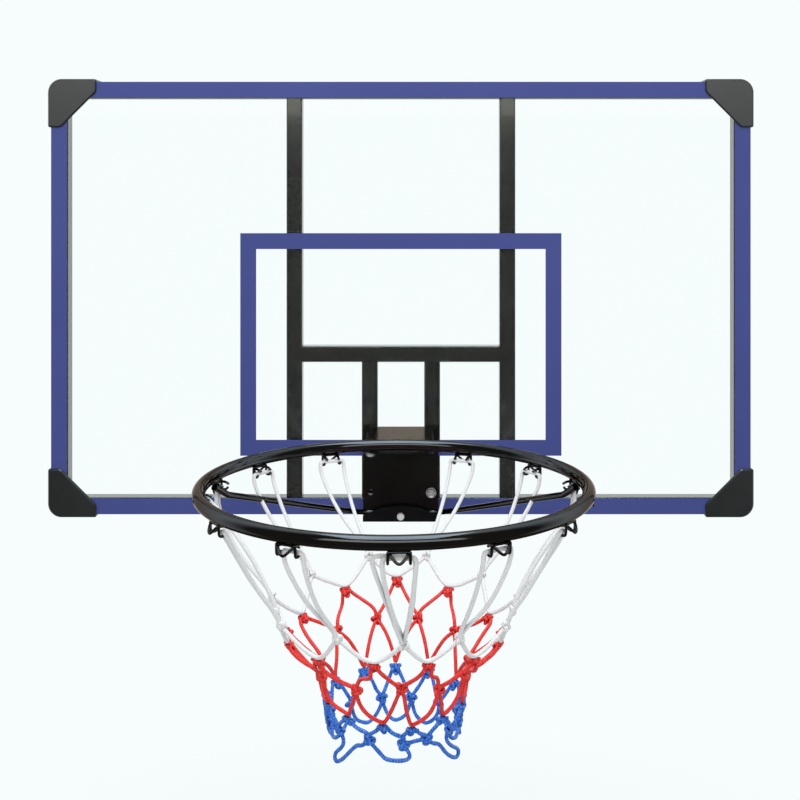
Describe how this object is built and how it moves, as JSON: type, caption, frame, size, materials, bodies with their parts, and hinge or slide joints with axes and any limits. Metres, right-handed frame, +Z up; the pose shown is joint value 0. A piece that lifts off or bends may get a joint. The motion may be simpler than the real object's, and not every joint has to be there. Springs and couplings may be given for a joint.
{
  "type": "basketball backboard",
  "caption": "Clear backboard on a black steel tube frame with blue lines, corner pads, a fixed black rim and a white, red and blue knotted net.",
  "frame": {"origin": "centre of the rectangle of four mounting holes, on the back plane of the frame", "axes": "+X to the right seen from the playing side, +Y back towards the wall or pole, +Z up"},
  "size_m": [1.1086, 0.6921, 0.8617],
  "materials": {
    "clear_panel": "clear gloss",
    "blue_film": "flat gloss",
    "frame_paint": "satin black powder coat",
    "bonding_tape": "black foam",
    "spacer_rubber": "matt",
    "pad_plastic": "fine moulded grain",
    "rim_paint": "gloss black",
    "zinc": "zinc plated",
    "white_cord": "braided",
    "red_cord": "braided",
    "blue_cord": "braided"
  },
  "bodies": {
    "root": {"clear_panel": "clear_panel", "border_film": "blue_film", "target_film": "blue_film", "frame_top_rail": "frame_paint", "frame_bottom_rail": "frame_paint", "frame_left_rail": "frame_paint", "frame_right_rail": "frame_paint", "left_upright": "frame_paint", "right_upright": "frame_paint", "crossbar": "frame_paint", "left_rim_post": "frame_paint", "right_rim_post": "frame_paint", "panel_tape": "bonding_tape", "panel_spacers": "spacer_rubber", "corner_pad_top_left": "pad_plastic", "corner_pad_top_right": "pad_plastic", "corner_pad_bottom_left": "pad_plastic", "corner_pad_bottom_right": "pad_plastic", "rim_plate": "rim_paint", "rim_arm": "rim_paint", "rim_ring": "rim_paint", "net_hooks": "rim_paint", "left_brace_rod": "rim_paint", "right_brace_rod": "rim_paint", "brace_saddle": "rim_paint", "corner_pad_screws": "zinc", "mounting_nuts": "zinc", "rim_bolts": "zinc", "rim_front_washers": "zinc", "rim_back_washers": "zinc", "rim_nuts": "zinc", "brace_saddle_screw": "zinc", "net_white": "white_cord", "net_red": "red_cord", "net_blue": "blue_cord"}
  },
  "joints": []
}
